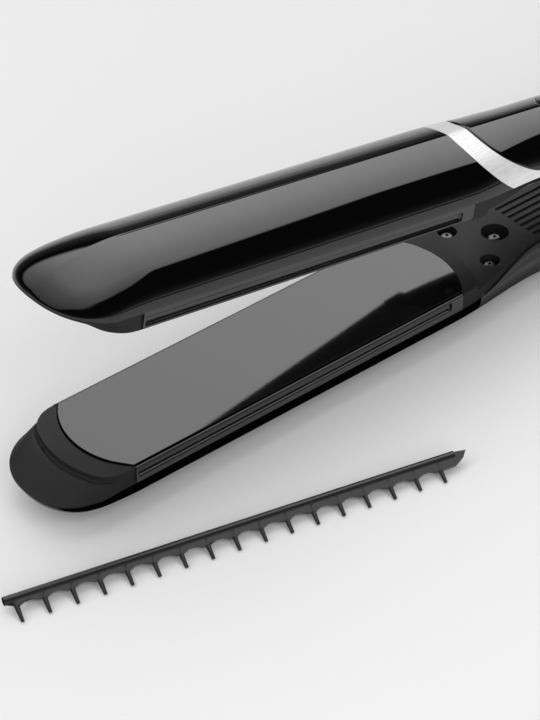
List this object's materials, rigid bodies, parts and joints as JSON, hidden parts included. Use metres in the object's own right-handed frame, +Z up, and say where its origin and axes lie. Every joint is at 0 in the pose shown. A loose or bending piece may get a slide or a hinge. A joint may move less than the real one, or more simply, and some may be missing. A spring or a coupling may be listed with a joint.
{
  "type": "hair straightener",
  "caption": "Hair straightener with glossy black arms hinged at the tail, floating grey heated plates, a silver band, push buttons, a sliding lock and a clip-on comb.",
  "frame": {"origin": "on the table, at the middle of the flat land under the lower arm, below the middle of the lower heated plate", "axes": "+X from the noses to the hinge and cord, +Y across the arms away from the comb, +Z up from the table"},
  "size_m": [0.3128, 0.0721, 0.0723],
  "materials": {
    "gloss_black": "mirror-smooth gloss",
    "matte_black": "satin, fine grain",
    "swivel_rubber": "matte",
    "comb_plastic": "semi-gloss",
    "plate_coating": "smooth grey ceramic coating, semi-gloss",
    "trim_metal": "satin silver",
    "screw_steel": "bright",
    "heater_ceramic": "matte ceramic white",
    "carrier_resin": "matte heat-resistant resin",
    "cushion_silicone": "matte",
    "fuse_metal": "bright",
    "lead_sleeve": "woven glass-fibre sleeve",
    "board_green": "solder-mask green",
    "display_smoke": "smoked, glossy"
  },
  "bodies": {
    "lower_arm": {"lower_front_shell": "gloss_black", "lower_handle_shell": "matte_black", "lower_nose_cap": "matte_black", "lower_plate_frame": "matte_black", "lower_handle_cover": "matte_black", "lower_plate_cushions": "cushion_silicone", "lower_screws": "screw_steel", "lower_heater_leads": "lead_sleeve", "hinge_fork": "matte_black", "hinge_pin": "screw_steel", "hinge_spring": "screw_steel"},
    "upper_arm": {"upper_front_shell": "gloss_black", "trim_band": "trim_metal", "upper_handle_shell": "gloss_black", "upper_nose_cap": "matte_black", "upper_plate_frame": "matte_black", "upper_handle_cover": "matte_black", "upper_plate_cushions": "cushion_silicone", "upper_screws": "screw_steel", "upper_heater_leads": "lead_sleeve", "hinge_tongue": "matte_black", "control_bezel": "gloss_black", "display_window": "display_smoke", "circuit_board": "board_green"},
    "lower_plate_unit": {"lower_plate": "plate_coating", "lower_heater": "heater_ceramic", "lower_plate_carrier": "carrier_resin", "lower_thermal_fuse": "fuse_metal"},
    "upper_plate_unit": {"upper_plate": "plate_coating", "upper_heater": "heater_ceramic", "upper_plate_carrier": "carrier_resin", "upper_thermal_fuse": "fuse_metal"},
    "power_key": {"power_button": "matte_black"},
    "plus_key": {"plus_button": "matte_black"},
    "minus_key": {"minus_button": "matte_black"},
    "lock": {"lock_slider": "matte_black"},
    "swivel": {"cord_swivel": "swivel_rubber"},
    "comb_unit": {"comb": "comb_plastic"}
  },
  "joints": [
    {"name": "arm_hinge", "type": "hinge", "parent": "lower_arm", "child": "upper_arm", "pos_m": [0.19, 0, 0.0164], "axis": [0, 1, 0], "range_deg": [-9.3, 0], "stiffness_Nm_per_rad": 1.5, "springref_deg": 8.59},
    {"name": "lower_plate_float", "type": "slide", "parent": "lower_arm", "child": "lower_plate_unit", "axis": [0, 0, -1], "range_m": [0, 0.0006], "stiffness_N_per_m": 8000, "springref_m": -0.0004, "deforming": ["lower_plate_cushions"]},
    {"name": "upper_plate_float", "type": "slide", "parent": "upper_arm", "child": "upper_plate_unit", "axis": [0.1616, 0, 0.9869], "range_m": [0, 0.0006], "stiffness_N_per_m": 8000, "springref_m": -0.0004, "deforming": ["upper_plate_cushions"]},
    {"name": "power_press", "type": "slide", "parent": "upper_arm", "child": "power_key", "axis": [-0.1616, 0, -0.9869], "range_m": [0, 0.0008], "stiffness_N_per_m": 2000, "springref_m": -0.0003},
    {"name": "plus_press", "type": "slide", "parent": "upper_arm", "child": "plus_key", "axis": [-0.1616, 0, -0.9869], "range_m": [0, 0.0008], "stiffness_N_per_m": 2000, "springref_m": -0.0003},
    {"name": "minus_press", "type": "slide", "parent": "upper_arm", "child": "minus_key", "axis": [-0.1616, 0, -0.9869], "range_m": [0, 0.0008], "stiffness_N_per_m": 2000, "springref_m": -0.0003},
    {"name": "lock_slide", "type": "slide", "parent": "upper_arm", "child": "lock", "axis": [0.9869, 0, -0.1616], "range_m": [0, 0.005]},
    {"name": "swivel_turn", "type": "hinge", "parent": "lower_arm", "child": "swivel", "pos_m": [0.204, 0, 0.0164], "axis": [1, 0, 0], "continuous": true},
    {"name": "comb_lift", "type": "slide", "parent": "lower_arm", "child": "comb_unit", "axis": [0, 0, 1], "range_m": [0, 0.04]}
  ]
}
